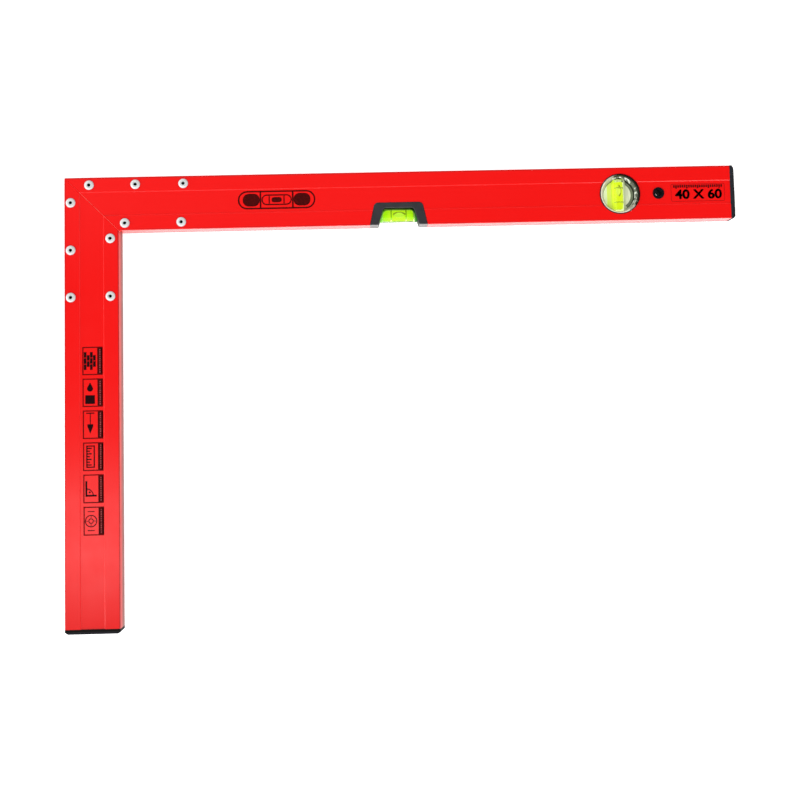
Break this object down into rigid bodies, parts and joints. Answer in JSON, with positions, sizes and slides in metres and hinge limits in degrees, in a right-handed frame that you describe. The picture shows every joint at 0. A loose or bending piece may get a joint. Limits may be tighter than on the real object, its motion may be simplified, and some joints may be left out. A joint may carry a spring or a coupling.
{
  "type": "angle level",
  "caption": "Bricklayer's square with two riveted aluminium box arms, a level vial in the inner edge, a round plumb vial and a hanging hole.",
  "frame": {"origin": "outer corner of the square, half way through its depth", "axes": "+X along the long arm, -Y along the short arm, +Z out of the front, which faces up as it lies on its rear"},
  "size_m": [0.6, 0.4, 0.0222],
  "materials": {
    "painted_aluminium": "satin",
    "bare_aluminium": "satin",
    "rivet_aluminium": "satin",
    "mandrel_steel": "satin",
    "black_plastic": "satin",
    "grey_plastic": "satin",
    "clear_acrylic": "gloss",
    "lime_liquid": "gloss",
    "line_ring": "satin",
    "vial_plug": "gloss",
    "housing_plastic": "gloss"
  },
  "bodies": {
    "root": {"long_arm": "painted_aluminium", "short_arm": "painted_aluminium", "corner_plate_front": "bare_aluminium", "corner_plate_rear": "bare_aluminium", "long_arm_end_cap": "black_plastic", "short_arm_end_cap": "black_plastic", "long_arm_front_rivets": "rivet_aluminium", "long_arm_rear_rivets": "rivet_aluminium", "short_arm_front_rivets": "rivet_aluminium", "short_arm_rear_rivets": "rivet_aluminium", "long_arm_front_rivet_mandrels": "mandrel_steel", "long_arm_rear_rivet_mandrels": "mandrel_steel", "short_arm_front_rivet_mandrels": "mandrel_steel", "short_arm_rear_rivet_mandrels": "mandrel_steel", "level_vial_holder": "grey_plastic", "level_vial_body": "clear_acrylic", "level_vial_liquid": "lime_liquid", "level_vial_lines": "line_ring", "level_vial_plug": "vial_plug", "plumb_housing_front": "housing_plastic", "plumb_housing_rear": "housing_plastic", "plumb_vial_body": "clear_acrylic", "plumb_vial_liquid": "lime_liquid", "plumb_vial_lines": "line_ring", "plumb_vial_plug": "vial_plug", "hanging_bush": "black_plastic"}
  },
  "joints": []
}
